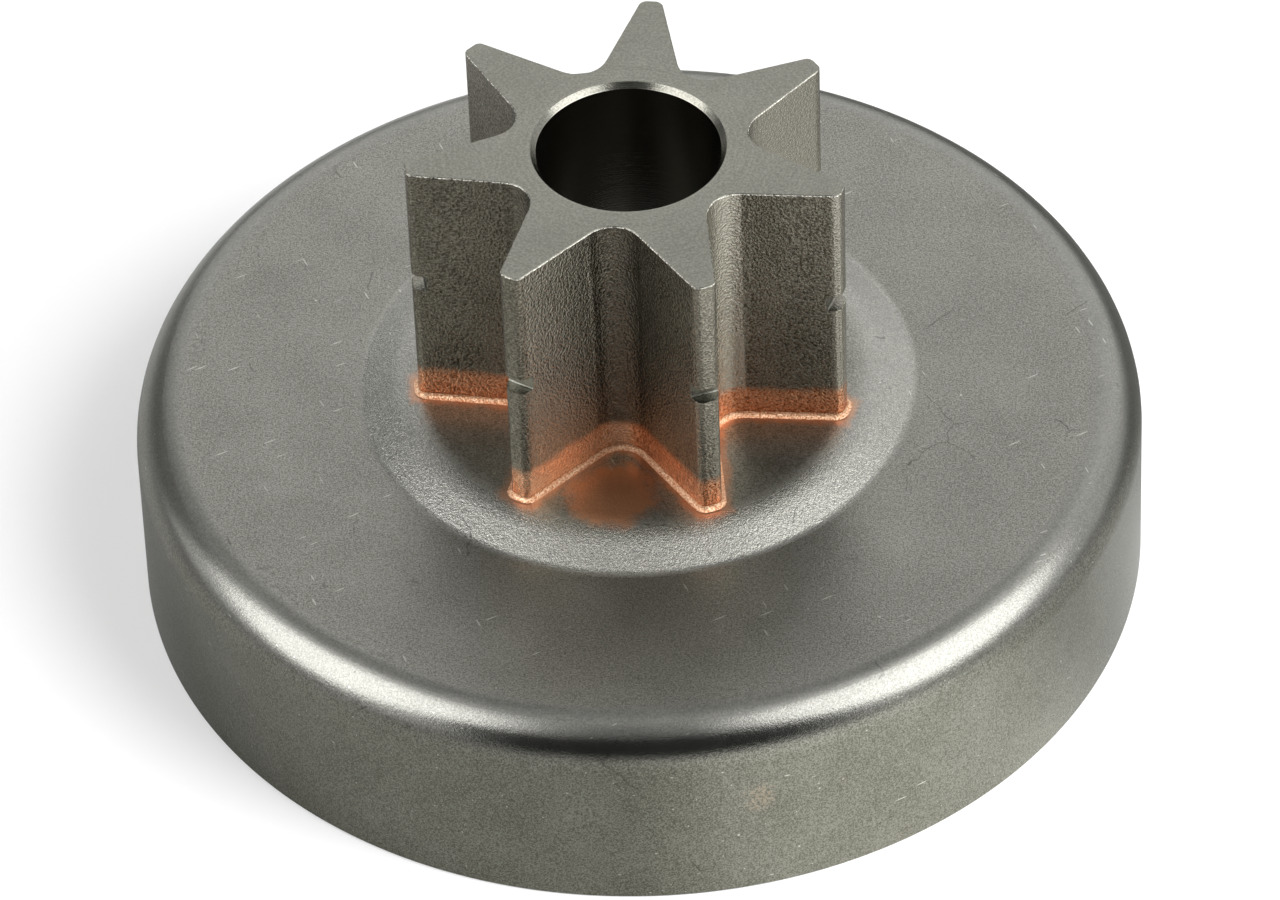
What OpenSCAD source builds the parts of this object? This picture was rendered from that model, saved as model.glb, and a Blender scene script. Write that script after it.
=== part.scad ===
// Spur sprocket of a chainsaw, copper-brazed onto the pressed drum of its centrifugal clutch.
// The drum stands on its open rim, the origin is the middle of that rim and Z runs along the bore.

/* [Sprocket] */
// Number of teeth
teeth = 7; // [6:1:8]
// Diameter over the tooth tips
tip_d = 33.8; // [30:0.1:42]
// Diameter at the bottom of the gaps
root_d = 18.3; // [17.8:0.1:19.6]
// Width of a tooth at its tip, before its corners are rounded
tip_w = 1.6; // [1.2:0.1:2.6]
// Lean of a flank towards the middle of its tooth
flank_lean = 15; // [12:0.5:16.5]
// Radius of the two corners of a tooth tip
tip_round = 0.6; // [0.2:0.05:0.7]
// Length of the teeth, from the boss to the ground end face
tooth_l = 22.6; // [16:0.1:30]

/* [Groove round the tooth tips] */
// Height of the middle of the groove above the boss
groove_at = 11.7; // [6:0.1:13]
// Width of the groove
groove_w = 1.4; // [0.8:0.1:2.5]
// Depth of the groove below the tooth tips
groove_depth = 1.0; // [0.4:0.05:1.6]

/* [Bore and spigot] */
// Diameter of the bore for the needle bearing
bore_d = 14; // [10:0.1:15]
// Bevel at both ends of the bore
bore_bevel = 0.4; // [0.1:0.05:0.6]
// Diameter of the spigot that passes through the floor of the drum
spigot_d = 17.2; // [16.8:0.1:17.6]
// How far the spigot stands out of the floor inside the drum
spigot_proud = 0.9; // [0.6:0.1:3]

/* [Drum] */
// Outside diameter of the drum at its rim
drum_d = 78.4; // [66:0.1:96]
// Height of the drum, from its rim to its flat face
drum_h = 16.5; // [12:0.1:28]
// Thickness of the pressed sheet
sheet_t = 2.2; // [1.2:0.1:3]
// Thickness of the wall at the rim, once its inside is turned for the shoes
wall_t = 2.4; // [1.4:0.1:3.2]
// Outside radius of the bend between wall and face
bend_r = 3.7; // [3.3:0.1:6]
// Lean of the wall towards the axis, in degrees
wall_lean = 0.8; // [0:0.1:3]
// Bevel inside the rim, where the clutch shoes enter
rim_bevel = 0.5; // [0.1:0.1:0.9]

/* [Raised boss in the face of the drum] */
// Diameter of the boss at its foot
boss_foot_d = 43; // [42:0.5:52]
// Diameter of the flat top of the boss
boss_top_d = 36; // [35:0.5:38]
// Rise of the boss above the face
boss_rise = 1.4; // [0.8:0.1:1.9]
// Radius of the rounded edge of the boss
boss_crest_r = 6; // [4:0.1:7]
// Radius of the hollow at the foot of the boss
boss_foot_r = 2; // [0.5:0.1:2.5]

/* [Copper] */
// Leg of the copper bead round the teeth
front_bead = 0.5; // [0.2:0.05:0.6]
// Leg of the copper ring round the spigot, inside the drum
rear_bead = 0.6; // [0.3:0.05:0.6]
// Gap between the spigot and the hole in the drum, on each side
braze_gap = 0.05; // [0.02:0.01:0.15]
// Gap between the copper bead and the teeth
bead_gap = 0.01; // [0.01:0.01:0.05]

/* [Hidden] */
$fn = 128;
// Overshoot of a cut past the face that it leaves through
over = 1;
// Steps across the hollow face of the copper bead
bead_steps = 3;

// Heights along the bore
boss_top_z = drum_h + boss_rise;
top_z = boss_top_z + tooth_l;
floor_z = boss_top_z - sheet_t;
spigot_z = floor_z - spigot_proud;

// A direction in the plane, and the flank of a tooth that points along +X
function along(a) = [cos(a), sin(a)];
tip_r = tip_d / 2;
half_pitch = 180 / teeth;
flank_normal = 90 - flank_lean;
flank_dist = (tip_w / 2 + tip_r * tan(flank_lean)) * cos(flank_lean);

// Rounded bottom of a gap: a circle that touches both flanks and the root circle
gap_lean = flank_normal - half_pitch;
gap_at = (root_d / 2 - flank_dist) / (1 - cos(gap_lean));
gap_r = gap_at - root_d / 2;

// Rounded corner of a tip: a circle that touches the flank and the tip circle from inside
corner_turn = flank_normal - acos((flank_dist - tip_round) / (tip_r - tip_round));
corner_at = (tip_r - tip_round) * along(corner_turn);

// Where the straight flank ends at the bottom of the gap
flank_foot = gap_at * along(half_pitch) - gap_r * along(flank_normal);

// Places the children on each tooth in turn, the first of them along +Y
module on_each_tooth() {
    for (i = [0:teeth - 1]) rotate(90 + i * 360 / teeth) children();
}

// Draws the children on both sides of a tooth that points along +X
module both_sides() {
    children();
    mirror([0, 1]) children();
}

// One gap between two teeth, open outwards
module gap_outline() {
    reach = tip_d;
    flank_way = along(-flank_lean);
    rotate(half_pitch) translate([gap_at, 0]) circle(gap_r);
    polygon([
        gap_at * along(half_pitch),
        flank_foot,
        flank_foot + reach * flank_way,
        mirrored(flank_foot + reach * flank_way, half_pitch),
        mirrored(flank_foot, half_pitch)
    ]);
}

// A point mirrored in the line through the axis that leans by a
function mirrored(p, a) = [
    p.x * cos(2 * a) + p.y * sin(2 * a),
    p.x * sin(2 * a) - p.y * cos(2 * a)
];

// What the rounding takes off one corner of a tip
module corner_waste() {
    side = 2 * tip_round;
    difference() {
        translate(corner_at) polygon([
            [0, 0],
            side * along(flank_normal),
            side * (along(flank_normal) + along(corner_turn)),
            side * along(corner_turn)
        ]);
        translate(corner_at) circle(tip_round, $fn = 48);
    }
}

module sprocket_outline() {
    difference() {
        circle(tip_r);
        on_each_tooth() gap_outline();
        on_each_tooth() both_sides() corner_waste();
    }
}

// The teeth, the bore with its bevels, the groove and the spigot are one piece of steel
module spur_sprocket() {
    color("dimgray") difference() {
        union() {
            translate([0, 0, boss_top_z]) linear_extrude(tooth_l) sprocket_outline();
            translate([0, 0, spigot_z]) cylinder(h = boss_top_z - spigot_z + over, d = spigot_d);
        }
        translate([0, 0, spigot_z - over]) cylinder(h = top_z - spigot_z + 2 * over, d = bore_d);
        bore_end_bevel(top_z, 1);
        bore_end_bevel(spigot_z, -1);
        tip_groove();
    }
}

// A bevel that opens the bore at height z, up with way 1 and down with way -1
module bore_end_bevel(z, way) {
    rotate_extrude() polygon([
        [0, z - way * bore_bevel],
        [bore_d / 2, z - way * bore_bevel],
        [bore_d / 2 + bore_bevel + over, z + way * over],
        [0, z + way * over]
    ]);
}

// The turned groove that crosses every tooth
module tip_groove() {
    bottom_r = tip_r - groove_depth;
    translate([0, 0, boss_top_z + groove_at - groove_w / 2]) difference() {
        cylinder(h = groove_w, r = tip_r + over);
        translate([0, 0, -over]) cylinder(h = groove_w + 2 * over, r = bottom_r);
    }
}

// Centres of the two bends of the boss, which the outside and the inside of the sheet share
boss_slope = atan(boss_rise / ((boss_foot_d - boss_top_d) / 2));
crest_at = [boss_top_d / 2 - boss_crest_r * tan(boss_slope / 2), boss_top_z - boss_crest_r];
foot_at = [boss_foot_d / 2 + boss_foot_r * tan(boss_slope / 2), drum_h + boss_foot_r];

// Half section of a filled drum with its own wall and bend, its top set in below the outside
module drum_form(wall_r, lean, bend, inset, low) {
    face_z = drum_h - inset;
    bend_at = [wall_r - (face_z - bend) * tan(lean) - bend / cos(lean), face_z - bend];
    crest = boss_crest_r - inset;
    foot = boss_foot_r + inset;
    slope_normal = along(90 - boss_slope);
    difference() {
        union() {
            polygon([
                [0, low],
                [wall_r - low * tan(lean), low],
                bend_at + bend * along(lean),
                bend_at,
                [bend_at.x, face_z],
                [foot_at.x, face_z],
                foot_at - foot * slope_normal,
                crest_at + crest * slope_normal,
                [crest_at.x, boss_top_z - inset],
                [0, boss_top_z - inset]
            ]);
            translate(bend_at) circle(bend);
            translate(crest_at) circle(crest);
        }
        translate(foot_at) circle(foot);
    }
}

// The cup is pressed from sheet, pierced for the spigot and turned inside for the shoes
module clutch_drum() {
    friction_r = drum_d / 2 - wall_t;
    color("slategray") rotate_extrude() difference() {
        drum_form(drum_d / 2, wall_lean, bend_r, 0, 0);
        drum_form(friction_r, 0, bend_r - sheet_t, sheet_t, -over);
        square([spigot_d / 2 + braze_gap, top_z]);
        polygon([
            [friction_r - over, -over],
            [friction_r + rim_bevel + over, -over],
            [friction_r - over, rim_bevel + over]
        ]);
    }
}

// Section of a bead of copper in the corner between a wall at x = 0 and the ground
module bead_section(leg) {
    difference() {
        square(leg);
        translate([leg, leg]) circle(leg, $fn = 48);
    }
}

// Points along an arc, in a number of steps
function arc(centre, r, from, to, steps) =
    [for (i = [0:steps]) centre + r * along(from + (to - from) * i / steps)];

// One side of a tooth that points along +X, grown by a distance: its corner, then half of the gap
function side_line(grow) = concat(
    arc(corner_at, tip_round + grow, corner_turn, flank_normal, 5),
    arc(gap_at * along(half_pitch), gap_r - grow, 180 + flank_normal, 180 + half_pitch, 7)
);

// The whole outline of the teeth, grown by a distance
function outline(grow) =
    let (side = side_line(grow), last = len(side) - 1)
    let (tooth = concat([for (i = [last - 1:-1:0]) mirrored(side[i], 0)], side))
    [for (i = [0:teeth - 1], p = tooth) turned(p, 90 + i * 360 / teeth)];

function turned(p, a) = [p.x * cos(a) - p.y * sin(a), p.x * sin(a) + p.y * cos(a)];

// Copper that ran out round the foot of the teeth: its hollow section follows their outline
module front_braze_bead() {
    hollow = arc([front_bead, front_bead], front_bead, 270, 180, bead_steps);
    section = concat([[0, 0]], hollow);
    loops = [for (s = section) [for (p = outline(bead_gap + s.x)) [p.x, p.y, s.y]]];
    around = len(loops[0]);
    across = len(loops);
    color("darkgoldenrod") translate([0, 0, boss_top_z]) polyhedron(
        points = [for (l = loops) each l],
        faces = [for (j = [0:across - 1], i = [0:around - 1])
            let (k = (j + 1) % across, n = (i + 1) % around)
            [j * around + i, k * around + i, k * around + n, j * around + n]]
    );
}

// Copper that came through round the spigot, on the floor inside the drum
module rear_braze_ring() {
    color("darkgoldenrod") translate([0, 0, floor_z]) mirror([0, 0, 1]) rotate_extrude()
        translate([spigot_d / 2, 0]) bead_section(rear_bead);
}

clutch_drum();
spur_sprocket();
front_braze_bead();
rear_braze_ring();
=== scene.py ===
from math import cos, pi, radians, sin, tan

import bmesh
import bpy
from mathutils import Euler, Matrix, Vector, noise


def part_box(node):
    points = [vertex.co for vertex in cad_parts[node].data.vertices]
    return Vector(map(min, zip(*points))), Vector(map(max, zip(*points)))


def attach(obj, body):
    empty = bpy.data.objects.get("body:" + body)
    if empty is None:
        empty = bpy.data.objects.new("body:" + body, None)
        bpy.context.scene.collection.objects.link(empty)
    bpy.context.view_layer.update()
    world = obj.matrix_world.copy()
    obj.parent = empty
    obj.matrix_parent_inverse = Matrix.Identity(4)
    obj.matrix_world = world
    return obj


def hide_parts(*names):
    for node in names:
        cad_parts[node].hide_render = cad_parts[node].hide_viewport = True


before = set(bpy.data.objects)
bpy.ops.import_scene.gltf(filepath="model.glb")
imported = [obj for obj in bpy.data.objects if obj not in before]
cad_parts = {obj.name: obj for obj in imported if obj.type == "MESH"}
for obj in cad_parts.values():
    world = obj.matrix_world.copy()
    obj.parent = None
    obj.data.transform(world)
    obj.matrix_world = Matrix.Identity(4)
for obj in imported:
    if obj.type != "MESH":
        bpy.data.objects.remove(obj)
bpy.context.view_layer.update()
scene = bpy.context.scene
MM = 0.001


# Camera. A long lens a little to the right of the sprocket's middle tooth looks down on it at 44
# degrees, tipped slightly, so that uprights lean and the drum fills the picture. Pixels are those
# of the 1280 x 900 picture.
PICTURE_W, PICTURE_H = 1280, 900
FOCAL_PX = 7000
AXIS_PX = (637.4, 379.0)
AXIS_DISTANCE = 541.6 * MM
VIEW_AZIMUTH = radians(7.51)
VIEW_ELEVATION = radians(43.75)
VIEW_ROLL = radians(2.235)
SENSOR_MM = 36
BOSS_RISE = 1.4 * MM

drum_low, drum_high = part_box("clutch_drum")
boss_z = drum_high.z
face_z = boss_z - BOSS_RISE
to_camera = Vector((
    sin(VIEW_AZIMUTH) * cos(VIEW_ELEVATION),
    -cos(VIEW_AZIMUTH) * cos(VIEW_ELEVATION),
    sin(VIEW_ELEVATION),
))
level = Vector((cos(VIEW_AZIMUTH), sin(VIEW_AZIMUTH), 0))
upright = to_camera.cross(level)
right = level * cos(VIEW_ROLL) - upright * sin(VIEW_ROLL)
up = level * sin(VIEW_ROLL) + upright * cos(VIEW_ROLL)
aside = (AXIS_PX[0] - PICTURE_W / 2) / FOCAL_PX
below = (AXIS_PX[1] - PICTURE_H / 2) / FOCAL_PX
camera = bpy.data.objects.new("camera", bpy.data.cameras.new("camera"))
camera.data.lens = SENSOR_MM * FOCAL_PX / PICTURE_W
camera.data.sensor_width = SENSOR_MM
camera.data.clip_start = 0.01
camera.data.clip_end = 50
turn = Matrix((right, up, to_camera)).transposed().to_4x4()
stand = Vector((0, 0, face_z)) + AXIS_DISTANCE * (to_camera - aside * right + below * up)
camera.matrix_world = Matrix.Translation(stand) @ turn
scene.collection.objects.link(camera)
scene.camera = camera
scene.view_settings.view_transform = "Standard"


# Floor and light. A plain white floor runs out of the picture and keeps the part's soft shadow. Two
# large soft panels light the part from left and right, and a weak one from behind, under a white
# sky. Dark cards and a low grey screen are there for the steel to mirror, and so are a painted shade
# and a painted pool of light on the floor, which only the steel sees; the floor's glow in the steel
# is also weaker under the part, as a painted shadow.
WHITE = (1, 1, 1, 1)
PALE = (0.86, 0.86, 0.86, 1)
GREY = (0.42, 0.42, 0.42, 1)
DIM = (0.27, 0.27, 0.27, 1)
BLACK = (0.03, 0.03, 0.03, 1)
FLOOR_HALF = 3.0
FLOOR_DROP = 0.02 * MM
FLOOR_GLOW = 0.6
# Painted shade and a painted pool of light on the floor, seen only in the steel's reflections
SHADE_DIM = (0.43, 0.43, 0.42, 1)
SHADE_LIT = (0.88, 0.88, 0.86, 1)
SHADE_DARK = (0.15, 0.15, 0.145, 1)
LIT_AZIMUTH = 32
DARK_AZIMUTH = 135
MIRROR_GLOW = 0.35
MIRROR_STRENGTH = 1.3
# A painted shadow: the floor's glow in the steel's reflections is weaker under the part
UNDER_GLOW = 0.25
UNDER_R = 36 * MM
CLEAR_R = 40 * MM
SKY_FILL = 0.22
SKY_SHOWN = 1.0
PANEL_DISTANCE = 0.6
CARD_DISTANCE = 0.7
SCREEN_HEIGHT = 0.24


class Value:
    """A socket of a node tree. An expression on values adds Math nodes; node() adds any other."""

    def __init__(self, tree, socket=None):
        self.tree = tree
        self.socket = socket

    def node(self, kind, settings, inputs, out=0):
        """Adds a node, sets its settings, then gives its sockets values or links."""
        made = self.tree.nodes.new(kind)
        for name, setting in settings.items():
            setattr(made, name, setting)
        for name, given in inputs.items():
            if isinstance(given, Value):
                self.tree.links.new(given.socket, made.inputs[name])
            else:
                made.inputs[name].default_value = given
        return Value(self.tree, made.outputs[out] if made.outputs else None)

    def maths(self, operation, *given):
        return self.node("ShaderNodeMath", {"operation": operation}, dict(enumerate(given)))

    def __add__(self, other):
        return self.maths("ADD", self, other)

    def __radd__(self, other):
        return self.maths("ADD", other, self)

    def __sub__(self, other):
        return self.maths("SUBTRACT", self, other)

    def __rsub__(self, other):
        return self.maths("SUBTRACT", other, self)

    def __mul__(self, other):
        return self.maths("MULTIPLY", self, other)

    def __rmul__(self, other):
        return self.maths("MULTIPLY", other, self)

    def larger(self, other):
        return self.maths("MAXIMUM", self, other)

    def ramp(self, low, high):
        """0 at low and 1 at high, with a soft step between them; low may be the larger."""
        if low > high:
            return 1 - self.ramp(high, low)
        return self.node(
            "ShaderNodeMapRange", {"interpolation_type": "SMOOTHSTEP"}, {0: self, 1: low, 2: high}
        )

    def mix(self, low, high):
        """The colour low where the value is 0 and high where it is 1."""
        return self.node("ShaderNodeMix", {"data_type": "RGBA"}, {0: self, 6: low, 7: high}, out=2)


def new_material(name):
    """An empty material, and a start for its nodes."""
    material = bpy.data.materials.new(name)
    material.use_nodes = True
    material.node_tree.nodes.clear()
    return material, Value(material.node_tree)


def lay_on(start, shader):
    """Puts a shader on the surface of its material."""
    start.node("ShaderNodeOutputMaterial", {}, {"Surface": shader})


def matt_paint(name, colour):
    paint, start = new_material(name)
    lay_on(start, start.node("ShaderNodeBsdfDiffuse", {}, {"Color": colour}))
    return paint


def seen_by(start, *kinds):
    """1 for rays of the given kinds and 0 for all others."""
    rays = [start.node("ShaderNodeLightPath", {}, {}, out=f"Is {kind} Ray") for kind in kinds]
    found = rays[0]
    for ray in rays[1:]:
        found = found.larger(ray)
    return found


def studio_mesh(name, bm, material):
    """A mesh that belongs to the studio and isn't a part of the object."""
    made = bpy.data.objects.new(name, bpy.data.meshes.new(name))
    bm.to_mesh(made.data)
    bm.free()
    made.data.materials.append(material)
    scene.collection.objects.link(made)
    return made


def studio_sheet(name, width, height, matrix, material):
    """A flat rectangle, such as the floor or a card."""
    bm = bmesh.new()
    bmesh.ops.create_grid(bm, x_segments=1, y_segments=1, size=0.5)
    bmesh.ops.scale(bm, verts=bm.verts, vec=(width, height, 1))
    bmesh.ops.transform(bm, verts=bm.verts, matrix=matrix)
    return studio_mesh(name, bm, material)


def facing_part(azimuth, elevation, distance, roll):
    """A place round the part, turned to face it. Azimuth 0 is the camera's side, 90 its right."""
    a, e = radians(azimuth), radians(elevation)
    turned = Euler((pi / 2 - e, 0, a + VIEW_AZIMUTH)).to_matrix().to_4x4()
    out = turned @ Vector((0, 0, 1))
    return Matrix.Translation(out * distance) @ turned @ Matrix.Rotation(radians(roll), 4, "Z")


def soft_panel(name, azimuth, elevation, roll, width, height, radiance):
    """A soft lamp that lights the part from PANEL_DISTANCE, as bright as radiance where it shows."""
    lamp = bpy.data.lights.new(name, "AREA")
    lamp.shape = "ELLIPSE"
    lamp.size = width
    lamp.size_y = height
    lamp.energy = radiance * pi * pi / 4 * width * height
    panel = bpy.data.objects.new(name, lamp)
    panel.matrix_world = facing_part(azimuth, elevation, PANEL_DISTANCE, roll)
    panel.visible_camera = False
    scene.collection.objects.link(panel)
    return panel


def card(name, azimuth, elevation, width, height, colour):
    """A matt card that the camera doesn't see, for the part to reflect."""
    hung = facing_part(azimuth, elevation, CARD_DISTANCE, 0)
    studio_sheet(name, width, height, hung, matt_paint(name, colour)).visible_camera = False


def towards(place, azimuth):
    """The cosine of the angle between an azimuth and the way from the part to a place."""
    a = radians(azimuth) + VIEW_AZIMUTH
    way = place.node("ShaderNodeVectorMath", {"operation": "NORMALIZE"}, {0: place})
    return way.node(
        "ShaderNodeVectorMath", {"operation": "DOT_PRODUCT"},
        {0: way, 1: (sin(a), -cos(a), 0)}, out="Value",
    )


floor_paint, start = new_material("floor_paint")
place = start.node("ShaderNodeTexCoord", {}, {}, out="Object")
away = place.node("ShaderNodeVectorMath", {"operation": "LENGTH"}, {0: place}, out="Value")
mirrored = seen_by(start, "Glossy", "Transmission")
# Painted light and shade on the floor for the steel: a painted pool of light towards LIT_AZIMUTH and
# a painted shadow towards DARK_AZIMUTH
shade = towards(place, LIT_AZIMUTH).ramp(0.8, 1).mix(SHADE_DIM, SHADE_LIT)
shade = towards(place, DARK_AZIMUTH).ramp(0.6, 0.95).mix(shade, SHADE_DARK)
matt = start.node("ShaderNodeBsdfDiffuse", {}, {"Color": mirrored.mix(PALE, shade)})
glow = start.node(
    "ShaderNodeEmission", {},
    {"Color": mirrored.mix(WHITE, shade), "Strength": 1 + (MIRROR_STRENGTH - 1) * mirrored},
)
# Painted shadow: the mirrored glow fades under the part
clear = UNDER_GLOW + (1 - UNDER_GLOW) * away.ramp(UNDER_R, CLEAR_R)
glowing = seen_by(start, "Camera") * FLOOR_GLOW + mirrored * (MIRROR_GLOW * clear)
lay_on(start, start.node("ShaderNodeMixShader", {}, {0: glowing, 1: matt, 2: glow}))
floor_place = Matrix.Translation((0, 0, drum_low.z - FLOOR_DROP))
studio_sheet("floor", 2 * FLOOR_HALF, 2 * FLOOR_HALF, floor_place, floor_paint)

world = bpy.data.worlds.new("studio")
world.use_nodes = True
world.node_tree.nodes.clear()
scene.world = world
start = Value(world.node_tree)
shown = seen_by(start, "Camera", "Glossy", "Transmission")
strength = SKY_FILL + shown * (SKY_SHOWN - SKY_FILL)
sky = start.node("ShaderNodeBackground", {}, {"Color": WHITE, "Strength": strength})
start.node("ShaderNodeOutputWorld", {}, {"Surface": sky})

bm = bmesh.new()
bmesh.ops.create_cone(
    bm, segments=96, radius1=CARD_DISTANCE, radius2=CARD_DISTANCE, depth=SCREEN_HEIGHT,
)
studio_mesh("low_screen", bm, matt_paint("screen_paint", GREY)).visible_camera = False

soft_panel(
    "panel_left", azimuth=-75, elevation=45, roll=-6, width=0.51, height=0.62, radiance=2.7
).visible_diffuse = False
soft_panel("panel_right", azimuth=69, elevation=48, roll=6, width=0.55, height=0.64, radiance=3.2)
soft_panel(
    "lamp_key", azimuth=58, elevation=46, roll=0, width=0.4, height=0.4, radiance=16
).visible_glossy = False
soft_panel(
    "panel_back", azimuth=180, elevation=34, roll=0, width=1.3, height=0.5, radiance=0.25
).visible_diffuse = False
card("card_front", azimuth=0, elevation=24, width=1.0, height=0.7, colour=BLACK)
card("card_left", azimuth=-133, elevation=28, width=0.46, height=0.75, colour=DIM)
card("card_above", azimuth=-169, elevation=91, width=0.74, height=1.1, colour=GREY)


# Tooth form, which the sprocket, its copper and the stain on the drum follow: straight flanks that
# lean in towards the tip, and a round bottom between the teeth. One tooth points along +Y.
TEETH = 7
FLANK_LEAN = radians(15)
TIP_W = 1.6 * MM
ROOT_R = 9.15 * MM
TIP_CORNER_R = 0.6 * MM

sprocket_low, sprocket_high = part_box("spur_sprocket")
tip_r = sprocket_high.y
half_pitch = pi / TEETH
flank_dist = (TIP_W / 2 + tip_r * tan(FLANK_LEAN)) * cos(FLANK_LEAN)
gap_lean = pi / 2 - FLANK_LEAN - half_pitch
gap_at = (ROOT_R - flank_dist) / (1 - cos(gap_lean))


# Clutch drum. A cup pressed from 2.2 mm steel sheet, with a raised round boss, a pierced hole for
# the sprocket's spigot and a rounded edge; its wall is turned inside, where the clutch shoes rub.
# Tumbling left it matt, with fine grain, pits, hair cracks and scuffs; brazing stained its boss.
SHEET = 2.2 * MM
RIM_WALL = 2.4 * MM
WALL_LEAN = radians(0.8)
EDGE_R = 3.7 * MM
RIM_BEVEL = 0.5 * MM
RIM_R = 0.2 * MM
BOSS_FOOT_R = 21.45 * MM
BOSS_TOP_R = 17.9 * MM
BOSS_CREST_BEND = 8 * MM
BOSS_FOOT_BEND = 2 * MM
HOLE_R = 8.65 * MM
HOLE_EDGE_R = 0.1 * MM
TURN_STEPS = 288
SHARP_FROM = radians(40)
DRUM_RELIEF = 0.032
SHEET_DARK = (0.14, 0.137, 0.12, 1)
SHEET_LIGHT = (0.365, 0.362, 0.328, 1)
WALL_DULL = (0.055, 0.058, 0.018, 1)
SLOPE_RUBBED = (0.7, 0.7, 0.65, 1)
BEND_EVEN = (0.25, 0.252, 0.243, 1)
GRIME = (0.03, 0.029, 0.024, 1)
PIT = (0.03, 0.028, 0.022, 1)
SCUFF = (0.75, 0.74, 0.68, 1)
SMEAR = (0.7, 0.5, 0.35, 1)
COPPER_STAIN = (0.72, 0.33, 0.17, 1)
# Where the copper ran off, the cracks gather and the wall is smeared, in millimetres
RUN_OFF_AT = (-0.4, -14.4, 17.9)
CRACKED_AT = (23, -3.9, 17)
SMEARED_AT = (12.8, -36.8, 9.5)


def rounded_face(bm, corners, quarter_steps):
    """A flat face through corners of (point, radius), each rounded to its radius."""
    verts = [bm.verts.new(point) for point, _ in corners]
    points = [v.co.copy() for v in verts]
    bm.faces.new(verts)
    for i, (vert, (_, radius)) in enumerate(zip(verts, corners)):
        if radius:
            before = points[i - 1] - points[i]
            after = points[(i + 1) % len(points)] - points[i]
            bend = pi - before.angle(after)
            bmesh.ops.bevel(
                bm, geom=[vert], offset=radius * tan(bend / 2), affect="VERTICES",
                segments=max(2, round(quarter_steps * bend / (pi / 2))), profile=0.5,
                material=-1, clamp_overlap=False,
            )


def turn_round_axis(bm, steps):
    """Turns every edge of a section in the XZ plane round the Z axis."""
    bmesh.ops.delete(bm, geom=bm.faces[:], context="FACES_ONLY")
    bmesh.ops.spin(
        bm, geom=bm.verts[:] + bm.edges[:], cent=(0, 0, 0), axis=(0, 0, 1), angle=2 * pi,
        steps=steps, use_merge=True,
    )


def add_piece(bm, name, material, node):
    """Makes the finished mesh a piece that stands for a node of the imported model."""
    bmesh.ops.recalc_face_normals(bm, faces=bm.faces)
    mesh = bpy.data.meshes.new(name)
    bm.to_mesh(mesh)
    bm.free()
    mesh.materials.append(material)
    mesh.shade_smooth()
    mesh.set_sharp_from_angle(angle=SHARP_FROM)
    piece = bpy.data.objects.new(name, mesh)
    scene.collection.objects.link(piece)
    piece.modifiers.new("weighted_normals", "WEIGHTED_NORMAL").keep_sharp = True
    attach(piece, "root")
    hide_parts(node)
    return piece


def bare_metal(start, colour, roughness, relief, depth):
    """Metal whose relief, from 0 to 1, stands for a depth in millimetres."""
    normal = start.node("ShaderNodeBump", {}, {"Height": relief, "Distance": depth * MM})
    lay_on(start, start.node(
        "ShaderNodeBsdfPrincipled", {},
        {"Base Color": colour, "Metallic": 1.0, "Roughness": roughness, "Normal": normal},
    ))


def millimetres(start):
    """The place on the part in millimetres, as a vector."""
    place = start.node("ShaderNodeTexCoord", {}, {}, out="Object")
    return start.node("ShaderNodeMapping", {}, {"Vector": place, "Scale": (1 / MM,) * 3})


def grain(place, size, detail=2.0, roughness=0.5):
    """Noise about 0.5, with features of a size in millimetres."""
    return place.node(
        "ShaderNodeTexNoise", {},
        {"Vector": place, "Scale": 1 / size, "Detail": detail, "Roughness": roughness},
    )


def axis_of(place, letter):
    return place.node("ShaderNodeSeparateXYZ", {}, {0: place}, out=letter)


def from_point(place, point):
    """Distance from a point, in millimetres."""
    return place.node(
        "ShaderNodeVectorMath", {"operation": "DISTANCE"}, {0: place, 1: point}, out="Value"
    )


def from_bore(place):
    """Distance from the axis of the bore, in millimetres."""
    flat = place.node("ShaderNodeVectorMath", {"operation": "MULTIPLY"}, {0: place, 1: (1, 1, 0)})
    return flat.node("ShaderNodeVectorMath", {"operation": "LENGTH"}, {0: flat}, out="Value")


def from_teeth(place):
    """Distance outside the teeth, in millimetres: from their flanks, tips or the gaps' bottom."""
    radius = from_bore(place)
    angle = place.maths("ARCTAN2", axis_of(place, "Y"), axis_of(place, "X")) - pi / 2
    folded = place.maths("PINGPONG", angle, half_pitch)
    flank = radius * place.maths("COSINE", folded + (FLANK_LEAN - pi / 2)) - flank_dist / MM
    outside = flank.larger(radius - tip_r / MM)
    return place.maths("MINIMUM", outside, radius - ROOT_R / MM)


def specks(place, spacing, size):
    """1 in sparse round specks of a size in millimetres and 0 between them."""
    near = place.node("ShaderNodeTexVoronoi", {}, {"Vector": place, "Scale": 1 / spacing})
    rare = grain(place, 2.5 * spacing).ramp(0.5, 0.56)
    return near.ramp(size / spacing, 0.6 * size / spacing) * rare


def strokes(place, turn, length, width, spacing):
    """1 in sparse thin strokes along a direction and 0 between them."""
    laid = place.node(
        "ShaderNodeMapping", {"vector_type": "TEXTURE"},
        {"Vector": place, "Rotation": (0, 0, turn), "Scale": (length / width, 1, 1)},
    )
    return specks(laid, spacing, width / 2)


def cracks(place, size, kept):
    """1 on thin wandering lines, where kept is near 1, and 0 between them."""
    wander = place.node(
        "ShaderNodeTexNoise", {}, {"Vector": place, "Scale": 0.5, "Detail": 3.0}, out="Color"
    )
    bent = place.node(
        "ShaderNodeVectorMath", {"operation": "MULTIPLY_ADD"},
        {0: wander, 1: (1.5, 1.5, 1.5), 2: place},
    )
    line = place.node(
        "ShaderNodeTexVoronoi", {"feature": "DISTANCE_TO_EDGE"}, {"Vector": bent, "Scale": 1 / size}
    )
    return line.ramp(0.07 / size, 0.03 / size) * kept


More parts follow.
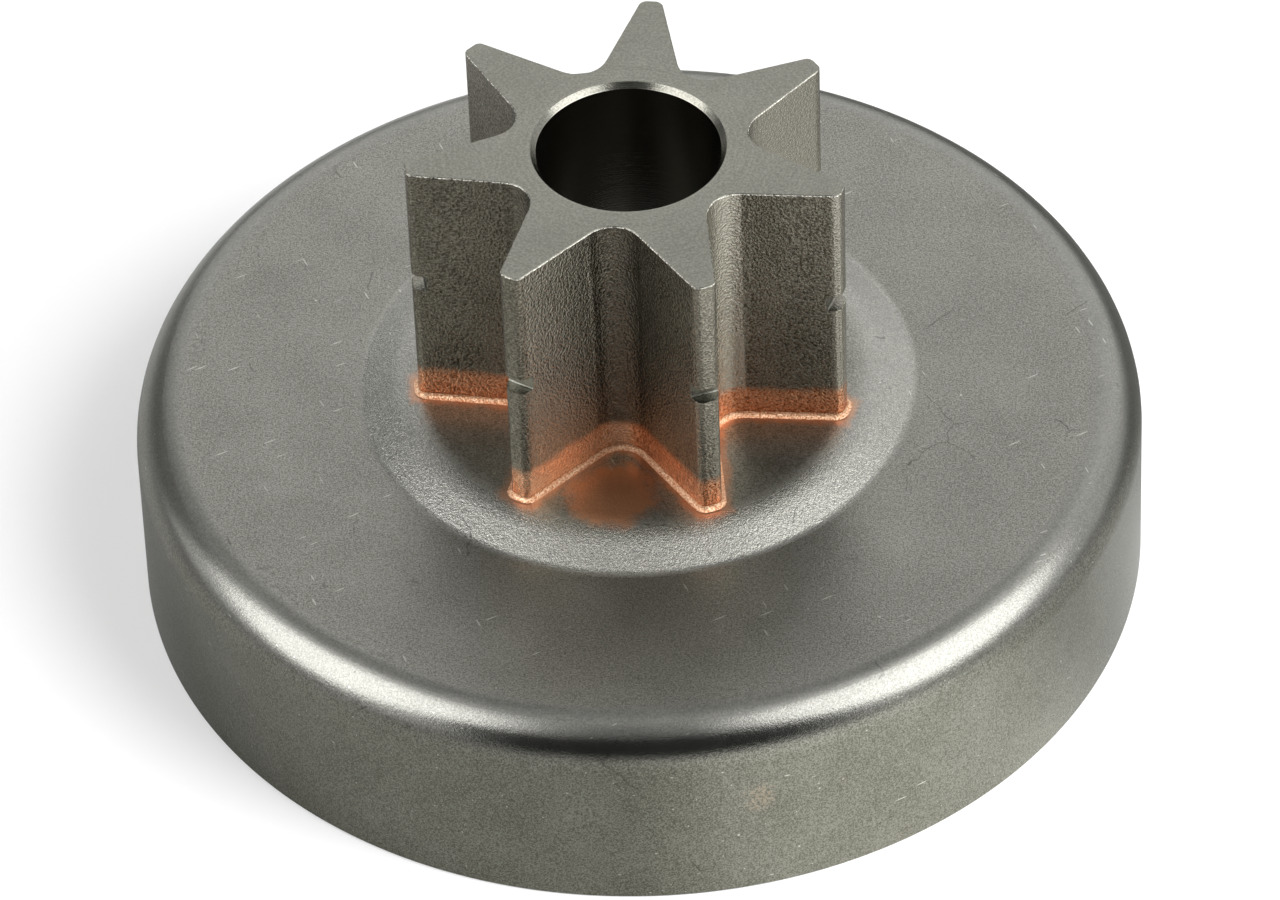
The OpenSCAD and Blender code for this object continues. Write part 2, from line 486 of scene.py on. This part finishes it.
boss_lean = (BOSS_FOOT_R - BOSS_TOP_R) / BOSS_RISE
half_slope = Vector((boss_lean, 1)).angle(Vector((1, 0))) / 2
inner_shift = SHEET * tan(half_slope)
rim_r = drum_high.x
friction_r = rim_r - RIM_WALL
bm = bmesh.new()
section = [
    (rim_r, 0, RIM_R),
    (rim_r - face_z * tan(WALL_LEAN), face_z, EDGE_R),
    (BOSS_FOOT_R, face_z, BOSS_FOOT_BEND),
    (BOSS_TOP_R, boss_z, BOSS_CREST_BEND),
    (HOLE_R, boss_z, HOLE_EDGE_R),
    (HOLE_R, boss_z - SHEET, HOLE_EDGE_R),
    (BOSS_TOP_R - inner_shift, boss_z - SHEET, BOSS_CREST_BEND - SHEET),
    (BOSS_FOOT_R - inner_shift, face_z - SHEET, BOSS_FOOT_BEND + SHEET),
    (friction_r, face_z - SHEET, EDGE_R - SHEET),
    (friction_r, RIM_BEVEL, 0),
    (friction_r + RIM_BEVEL, 0, 0),
]
rounded_face(bm, [(Vector((x, 0, z + drum_low.z)), r) for x, z, r in section], 12)
turn_round_axis(bm, TURN_STEPS)

drum_steel, start = new_material("drum_steel")
place = millimetres(start)
height = axis_of(place, "Z")
radius = from_bore(place)
fine = grain(place, 0.13, roughness=0.7)
sandy = grain(place, 0.3)
cloudy = grain(place, 6, detail=5, roughness=0.6)

# Where the wall, the flat face, the top and the slope of the boss, and the bent edge are, in
# millimetres: the edge starts to bend a little outside edge_mm
face_mm = face_z / MM
boss_mm = boss_z / MM
crest_mm = BOSS_TOP_R / MM
foot_mm = BOSS_FOOT_R / MM
edge_mm = 34.6
wall = height.ramp(face_mm - 1.0, face_mm - 3.6)
flat = height.ramp(face_mm - 0.5, face_mm - 0.1)
on_boss = height.ramp(boss_mm - 0.3, boss_mm - 0.1)
slope = radius.ramp(crest_mm - 1.5, crest_mm + 0.7) * radius.ramp(foot_mm + 0.45, foot_mm - 0.45)
lip = radius.ramp(edge_mm - 1.4, edge_mm) * height.ramp(face_mm - 2.2, face_mm - 1.2)
bend = lip * radius.ramp(edge_mm, edge_mm + 1.6)
near_left = (0.8 * axis_of(place, "X") + 0.6 * axis_of(place, "Y")).ramp(4, -14)

# Grain of the tumbled sheet
tone = (0.85 + 0.4 * wall) * (fine - 0.5) + 0.2 * (sandy - 0.5)
tone = tone + (0.16 + 0.1 * wall) * (cloudy - 0.5) + 0.5
tone = tone * (1 - 0.35 * bend) + 0.175 * bend
colour = tone.ramp(0.3, 0.7).mix(SHEET_DARK, SHEET_LIGHT)
colour = (0.36 * wall).mix(colour, WALL_DULL)
colour = (0.22 * slope).mix(colour, SLOPE_RUBBED)
colour = (0.3 * bend).mix(colour, BEND_EVEN)

# Grime in the edge, pits and cracks, scuffs, and a smear on the wall
grime = grain(place, 0.5, detail=4, roughness=0.7).ramp(0.47, 0.6)
grime = grime * lip * radius.ramp(edge_mm + 1.3, edge_mm + 0.3) * near_left * cloudy.ramp(0.46, 0.6)
colour = (0.3 * grime).mix(colour, GRIME)
kept = grain(place, 4) + 0.22 * from_point(place, CRACKED_AT).ramp(5.5, 2)
marks = 0.5 * specks(place, 1.9, 0.1) + 0.42 * cracks(place, 9, kept.ramp(0.62, 0.66))
colour = marks.mix(colour, PIT)
scuffs = 0.5 * specks(place, 2.7, 0.12)
scuffs = scuffs.larger(0.5 * strokes(place, 0.6, 1.3, 0.14, 0.7))
scuffs = scuffs.larger(0.5 * strokes(place, 2.1, 1.0, 0.14, 0.8))
colour = scuffs.mix(colour, SCUFF)
smear = from_point(place, SMEARED_AT) + 3 * grain(place, 1.1, detail=4, roughness=0.7)
smear = smear.ramp(3.1, 2.1) * sandy.ramp(0.42, 0.55)
colour = (0.16 * smear).mix(colour, SMEAR)

# Copper stain round the teeth, and the patch where copper ran off
stained = from_teeth(place) + 1.6 * grain(place, 1.5, detail=4, roughness=0.6) - 0.8
run_off = from_point(place, RUN_OFF_AT) + 3 * grain(place, 1.8, detail=4, roughness=0.6)
stain = (0.55 * stained.ramp(1.25, 0.25)).larger(0.85 * run_off.ramp(5.6, 3.8))
colour = (stain * on_boss).mix(colour, COPPER_STAIN)

roughness = 0.17 + 0.08 * cloudy + 0.13 * flat * (1 - slope)
relief = (0.6 * fine + 0.4 * sandy) * (1 + 1.2 * slope - 0.5 * lip)
bare_metal(start, colour, roughness, relief, DRUM_RELIEF)
add_piece(bm, "drum_shell", drum_steel, "clutch_drum")


# Spur sprocket. Seven straight teeth with a rounded gap between them, made in one piece of steel
# with the spigot behind the drum's floor. Its end is ground flat, its bore is turned and bevelled
# for a needle bearing, and a groove is turned round the tooth tips; the flanks keep their skin.
SPIGOT_R = 8.6 * MM
BORE_R = 7 * MM
BORE_BEVEL = 0.4 * MM
SPIGOT_BEVEL = 0.15 * MM
BURR = 0.08 * MM
BURR_WAVE = 0.035 * MM
BURR_LENGTH = 0.3 * MM
GROOVE_UP = 11.7 * MM
GROOVE_W = 1.4 * MM
GROOVE_DEPTH = 1.0 * MM
GROOVE_CORNER_R = 0.18 * MM
LATHE_STEPS = 128
GROOVE_STEPS = 256
SKIN_RELIEF = 0.05
SKIN_DARK = (0.088, 0.079, 0.06, 1)
SKIN_LIGHT = (0.31, 0.292, 0.24, 1)
# Painted highlight on the skin
SKIN_PAINTED_LIGHT = (0.7, 0.68, 0.6, 1)
# Painted shade in the gaps
GAP_PAINTED_SHADE = (0.05, 0.045, 0.035, 1)
# Bare metal of the burr, with a painted highlight
EDGE_BURR_HIGHLIGHT = (0.7, 0.7, 0.64, 1)
GROUND_DARK = (0.14, 0.138, 0.116, 1)
GROUND_LIGHT = (0.3, 0.297, 0.26, 1)
BORE_TURNED = (0.4, 0.385, 0.34, 1)
FILM_DARK = (0.38, 0.13, 0.05, 1)
FILM_LIGHT = (1, 0.56, 0.34, 1)
# Painted highlight on the copper film
FILM_PAINTED_LIGHT = (1, 0.8, 0.58, 1)
# A band of the flanks on this side is painted lighter as a painted highlight, and copper crept this
# far up, in millimetres
LIT_BAND_WAY = radians(-38.5)
FILM_UP = 2.7

top_z = sprocket_high.z
groove_low = boss_z + GROOVE_UP - GROOVE_W / 2


def add_loop(bm, loop):
    """Adds the edges of another bmesh, which it frees, and returns them."""
    held = bpy.data.meshes.new("held")
    loop.to_mesh(held)
    loop.free()
    before = len(bm.edges)
    bm.from_mesh(held)
    bpy.data.meshes.remove(held)
    bm.edges.ensure_lookup_table()
    return bm.edges[before:]


def tooth_loop(bm, grow, z, cuts=0):
    """Edges of the teeth's outline at height z, grown by a distance."""
    reach = tip_r + grow
    flank = flank_dist + grow
    half_tip = (flank - reach * sin(FLANK_LEAN)) / cos(FLANK_LEAN)
    valley = flank / cos(gap_lean)
    corners = []
    for i in range(TEETH):
        turned = Matrix.Rotation(pi / 2 + 2 * half_pitch * i, 4, "Z")
        side = Matrix.Rotation(half_pitch, 4, "Z") @ Vector((valley, 0, 0))
        corners += [
            (turned @ Vector((reach, -half_tip, 0)), TIP_CORNER_R + grow),
            (turned @ Vector((reach, half_tip, 0)), TIP_CORNER_R + grow),
            (turned @ side, gap_at - ROOT_R - grow),
        ]
    loop = bmesh.new()
    rounded_face(loop, corners, 10)
    bmesh.ops.delete(loop, geom=loop.faces[:], context="FACES_ONLY")
    if cuts:
        long = [e for e in loop.edges if e.calc_length() > 3 * MM]
        bmesh.ops.subdivide_edges(loop, edges=long, cuts=cuts)
    bmesh.ops.translate(loop, verts=loop.verts, vec=(0, 0, z))
    return add_loop(bm, loop)


bm = bmesh.new()
foot = tooth_loop(bm, 0, boss_z)
shoulder = tooth_loop(bm, 0, top_z - BURR, cuts=40)
brim = tooth_loop(bm, -BURR, top_z, cuts=40)
for v in {v for edge in shoulder for v in edge.verts}:
    v.co.z -= BURR_WAVE * abs(noise.noise(v.co / BURR_LENGTH))
bmesh.ops.bridge_loops(bm, edges=foot + shoulder)
bmesh.ops.bridge_loops(bm, edges=shoulder + brim)
lathe = bmesh.new()
turned_section = [
    (BORE_R + BORE_BEVEL, top_z),
    (BORE_R, top_z - BORE_BEVEL),
    (BORE_R, sprocket_low.z + BORE_BEVEL),
    (BORE_R + BORE_BEVEL, sprocket_low.z),
    (SPIGOT_R - SPIGOT_BEVEL, sprocket_low.z),
    (SPIGOT_R, sprocket_low.z + SPIGOT_BEVEL),
    (SPIGOT_R, boss_z),
]
line = [lathe.verts.new((x, 0, z)) for x, z in turned_section]
for a, b in zip(line, line[1:]):
    lathe.edges.new((a, b))
turn_round_axis(lathe, LATHE_STEPS)
add_loop(bm, lathe)
open_edges = [e for e in bm.edges if e.is_boundary]
for z in (boss_z, top_z):
    ends = [e for e in open_edges if all(abs(v.co.z - z) < MM / 100 for v in e.verts)]
    bmesh.ops.triangle_fill(bm, edges=ends, use_beauty=True, normal=(0, 0, 1))
bmesh.ops.remove_doubles(bm, verts=bm.verts, dist=MM / 1000)

sprocket_steel, start = new_material("sprocket_steel")
place = millimetres(start)
height = axis_of(place, "Z")
radius = from_bore(place)
across = axis_of(place, "X")
fine = grain(place, 0.11, roughness=0.6)
skin = grain(place, 0.19)
cloudy = grain(place, 4, detail=5)
lathe_turned = place.node("ShaderNodeCombineXYZ", {}, {0: radius, 1: 0.3 * cloudy, 2: height})
rings = grain(lathe_turned, 0.07)

# Where the ground end, the bore, the groove, the tips, the gaps and the band of painted highlight
# are, in millimetres
top_mm = top_z / MM
tip_mm = tip_r / MM
root_mm = ROOT_R / MM
bore_mm = BORE_R / MM
groove_mm = groove_low / MM
groove_end_mm = (groove_low + GROOVE_W) / MM
groove_floor_mm = (tip_r - GROOVE_DEPTH) / MM
ground = height.ramp(top_mm - 0.05, top_mm - 0.02)
outside = radius.ramp(bore_mm - 0.02, bore_mm + 0.06)
grooved = height.ramp(groove_mm - 0.05, groove_mm + 0.02)
grooved = grooved * height.ramp(groove_end_mm + 0.05, groove_end_mm)
grooved = grooved * radius.ramp(tip_mm - 0.04, tip_mm - 0.12)
grooved = grooved * radius.ramp(groove_floor_mm - 0.1, groove_floor_mm)
machined = ground.larger(radius.ramp(bore_mm + 0.6, bore_mm + 0.5)).larger(grooved)
tip = radius.ramp(tip_mm - 0.8, tip_mm - 0.3)
gap = radius.ramp(root_mm + 1.1, root_mm + 0.9)
lit_band = cos(LIT_BAND_WAY) * across + sin(LIT_BAND_WAY) * axis_of(place, "Y")
lit_band = lit_band.ramp(3.2, 4.2) * lit_band.ramp(6.6, 5.8)

# Flank skin; painted highlight on gaps, tips and a flank band towards +X, painted shade in gaps
# towards -X
mottle = (0.15 * cloudy + 0.25 * fine + 0.6 * skin).ramp(0.34, 0.66)
dark = mottle.mix(SKIN_DARK, SKIN_LIGHT)
# Painted highlight: the gaps' bottom, the tips and a band of the flanks are lighter towards +X,
# where light falls
painted_light = (0.5 * gap * across.ramp(2, 8)).larger(0.38 * tip * across.ramp(2, 17))
painted_light = painted_light.larger((0.25 + 0.25 * across.ramp(4, 9)) * lit_band * (1 - tip) * (1 - gap))
dark = painted_light.mix(dark, SKIN_PAINTED_LIGHT)
# Painted shade: the gaps are darker towards -X
dark = (0.35 * gap * across.ramp(6, 2)).mix(dark, GAP_PAINTED_SHADE)
# A bright line under the top edge: the bare metal of the burr, made brighter than the ground end by
# a painted highlight
edge = height.ramp(top_mm - 0.14, top_mm - 0.09) * (1 - ground) * outside
dark = (0.7 * edge * skin.ramp(0.3, 0.65)).mix(dark, EDGE_BURR_HIGHLIGHT)

# Machined faces, and the copper film that crept up from the boss
bright = (0.5 * mottle + 0.5 * rings).mix(GROUND_DARK, GROUND_LIGHT)
colour = outside.mix(BORE_TURNED, machined.mix(dark, bright))
ragged = height + 0.9 * skin - 0.2 + 0.9 * grain(place, 2.5) - 0.7
film_top = boss_mm + FILM_UP
stain = ragged.ramp(film_top + 0.6, film_top - 0.45) * radius.ramp(bore_mm + 0.3, bore_mm + 0.5)
film = skin.ramp(0.25, 0.75).mix(FILM_DARK, FILM_LIGHT)
# The copper film is lighter on the band of painted highlight
colour = stain.mix(colour, (0.4 * lit_band).mix(film, FILM_PAINTED_LIGHT))

roughness = 0.22 - 0.04 * machined - 0.06 * gap + 0.06 * cloudy
relief = (1 - machined) * skin.ramp(0.25, 0.75) + machined * (0.2 * fine + 0.18 * rings)
bare_metal(start, colour, roughness, relief, SKIN_RELIEF)
sprocket = add_piece(bm, "sprocket_body", sprocket_steel, "spur_sprocket")

cut = bmesh.new()
rounded_face(cut, [
    (Vector((tip_r - GROOVE_DEPTH, 0, groove_low)), GROOVE_CORNER_R),
    (Vector((tip_r + GROOVE_DEPTH, 0, groove_low)), 0),
    (Vector((tip_r + GROOVE_DEPTH, 0, groove_low + GROOVE_W)), 0),
    (Vector((tip_r - GROOVE_DEPTH, 0, groove_low + GROOVE_W)), GROOVE_CORNER_R),
], 6)
turn_round_axis(cut, GROOVE_STEPS)
bmesh.ops.recalc_face_normals(cut, faces=cut.faces)
cutter = bpy.data.objects.new("groove_cut", bpy.data.meshes.new("groove_cut"))
cut.to_mesh(cutter.data)
cut.free()
scene.collection.objects.link(cutter)
groove = sprocket.modifiers.new("groove", "BOOLEAN")
groove.solver = "EXACT"
groove.object = cutter
sprocket.modifiers.move(1, 0)
grooved_mesh = bpy.data.meshes.new_from_object(
    sprocket.evaluated_get(bpy.context.evaluated_depsgraph_get())
)
sprocket.modifiers.remove(groove)
sprocket.data = grooved_mesh
bpy.data.objects.remove(cutter)


# Copper bead. Brazing joins the sprocket to the drum; the copper that ran out round the foot of the
# teeth set as a bright hollow fillet, a little uneven along the flanks.
FRONT_BEAD = 0.37 * MM
BEAD_STEPS = 6
BEAD_GAP = 0.01 * MM
BEAD_WAVE = 0.06 * MM
BEAD_WAVE_LENGTH = 0.8 * MM
BEAD_RELIEF = 0.12
COPPER_DARK = (0.6, 0.27, 0.13, 1)
COPPER_LIGHT = (1, 0.72, 0.5, 1)


def bridge_round(bm, loops):
    """Joins each loop to the next one, and the last one to the first."""
    for a, b in zip(loops, loops[1:] + loops[:1]):
        bmesh.ops.bridge_loops(bm, edges=a + b)


bm = bmesh.new()
quarter = [i * pi / 2 / BEAD_STEPS for i in range(BEAD_STEPS + 1)]
hollow = [(FRONT_BEAD * (1 - sin(a)), FRONT_BEAD * (1 - cos(a))) for a in quarter]
loops = [
    tooth_loop(bm, BEAD_GAP + out, boss_z + up_by, cuts=24)
    for out, up_by in [(0, 0)] + hollow
]
bridge_round(bm, loops)
for v in bm.verts:
    if v.co.z > boss_z + MM / 100:
        wave = BEAD_WAVE * noise.noise(v.co / BEAD_WAVE_LENGTH)
        v.co.z += wave * (v.co.z - boss_z) / FRONT_BEAD

copper, start = new_material("copper")
place = millimetres(start)
skin = grain(place, 0.14, roughness=0.7)
colour = skin.ramp(0.35, 0.62).mix(COPPER_DARK, COPPER_LIGHT)
roughness = 0.26 + 0.12 * grain(place, 0.6, detail=3)
bare_metal(start, colour, roughness, skin, BEAD_RELIEF)
add_piece(bm, "copper_bead", copper, "front_braze_bead")


# Copper ring. The same copper came through between the spigot and its hole, and set as a hollow
# ring on the drum's floor, inside the cup.
REAR_BEAD = 0.6 * MM
floor_in = boss_z - SHEET

bm = bmesh.new()
ring = [(SPIGOT_R, floor_in)] + [
    (SPIGOT_R + REAR_BEAD * (1 - sin(a)), floor_in - REAR_BEAD * (1 - cos(a))) for a in quarter
]
rounded_face(bm, [(Vector((x, 0, z)), 0) for x, z in ring], 1)
turn_round_axis(bm, LATHE_STEPS)
add_piece(bm, "copper_ring", copper, "rear_braze_ring")
